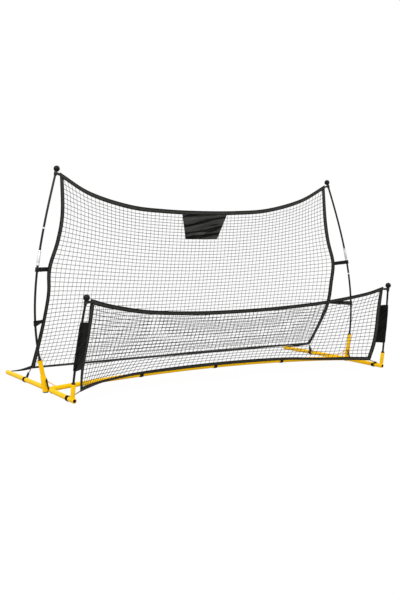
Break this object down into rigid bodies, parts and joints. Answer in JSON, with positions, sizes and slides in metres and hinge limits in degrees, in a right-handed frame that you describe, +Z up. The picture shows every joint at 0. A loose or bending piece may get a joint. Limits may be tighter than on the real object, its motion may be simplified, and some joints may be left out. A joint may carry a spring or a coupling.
{
  "type": "two-sided rebound net",
  "caption": "Free-standing rebound net on a knock-down steel floor frame: a tall and a low net stretched between bowed poles, with webbing hems, straps and a cloth target patch.",
  "frame": {"origin": "on the floor under the middle of the whole object's box; the hubs, where the cross tube meets the rails, are 116 mm in front of it", "axes": "+X along the cross tube to the right as seen from the low net's side, +Y from the low net towards the tall net's foot, +Z up"},
  "size_m": [2.2392, 1.0842, 1.2051],
  "materials": {
    "yellow_steel": "semi-gloss powder coat",
    "black_plastic": "satin",
    "grey_plastic": "matt",
    "dark_steel": "satin",
    "pole_black": "gloss",
    "ferrule_aluminium": "satin",
    "net_twine": "matt",
    "webbing": "matt",
    "nylon": "satin"
  },
  "bodies": {
    "frame": {"side_frame_left": "yellow_steel", "side_frame_right": "yellow_steel", "front_rail_left": "yellow_steel", "front_rail_right": "yellow_steel", "cross_tube_left": "yellow_steel", "cross_tube_middle": "yellow_steel", "cross_tube_right": "yellow_steel", "pole_socket_left": "yellow_steel", "pole_socket_right": "yellow_steel", "rear_plug_left": "black_plastic", "rear_plug_right": "black_plastic", "front_plug_left": "black_plastic", "front_plug_right": "black_plastic", "hub_foot_left": "grey_plastic", "hub_foot_right": "grey_plastic", "tall_pole_lower_left": "pole_black", "tall_pole_lower_right": "pole_black", "tall_pole_upper_left": "pole_black", "tall_pole_upper_right": "pole_black", "ferrule_left": "ferrule_aluminium", "ferrule_right": "ferrule_aluminium", "low_pole_left": "pole_black", "low_pole_right": "pole_black", "tall_cap_left": "black_plastic", "tall_cap_right": "black_plastic", "low_cap_left": "black_plastic", "low_cap_right": "black_plastic", "tall_net": "net_twine", "tall_hem_top": "webbing", "tall_hem_bottom": "webbing", "tall_hem_left": "webbing", "tall_hem_right": "webbing", "target_patch": "nylon", "upper_pole_strap_left": "webbing", "upper_pole_strap_right": "webbing", "lower_pole_strap_left": "webbing", "lower_pole_strap_right": "webbing", "corner_strap_left": "webbing", "corner_strap_right": "webbing", "corner_tie_left": "webbing", "corner_tie_right": "webbing", "low_net": "net_twine", "low_hem_top": "webbing", "low_hem_bottom": "webbing", "low_hem_left": "webbing", "low_hem_right": "webbing", "sleeve_panel_left": "nylon", "sleeve_panel_right": "nylon", "hem_strap_left": "webbing", "hem_strap_middle": "webbing", "hem_strap_right": "webbing", "low_corner_strap_left": "webbing", "low_corner_strap_right": "webbing"},
    "left_socket_button": {"socket_button_left": "dark_steel"},
    "right_socket_button": {"socket_button_right": "dark_steel"},
    "left_rail_button": {"rail_button_left": "dark_steel"},
    "right_rail_button": {"rail_button_right": "dark_steel"},
    "left_cross_button": {"cross_button_left": "dark_steel"},
    "right_cross_button": {"cross_button_right": "dark_steel"}
  },
  "joints": [
    {"name": "left_socket_press", "type": "slide", "parent": "frame", "child": "left_socket_button", "axis": [-0.9588, 0.2451, -0.1438], "range_m": [0, 0.0025], "stiffness_N_per_m": 800},
    {"name": "right_socket_press", "type": "slide", "parent": "frame", "child": "right_socket_button", "axis": [0.9588, 0.2451, -0.1438], "range_m": [0, 0.0025], "stiffness_N_per_m": 800},
    {"name": "left_rail_press", "type": "slide", "parent": "frame", "child": "left_rail_button", "axis": [0.8191, 0, 0.5736], "range_m": [0, 0.0025], "stiffness_N_per_m": 800},
    {"name": "right_rail_press", "type": "slide", "parent": "frame", "child": "right_rail_button", "axis": [-0.8191, 0, 0.5736], "range_m": [0, 0.0025], "stiffness_N_per_m": 800},
    {"name": "left_cross_press", "type": "slide", "parent": "frame", "child": "left_cross_button", "axis": [0, -1, 0], "range_m": [0, 0.0025], "stiffness_N_per_m": 800},
    {"name": "right_cross_press", "type": "slide", "parent": "frame", "child": "right_cross_button", "axis": [0, -1, 0], "range_m": [0, 0.0025], "stiffness_N_per_m": 800}
  ]
}
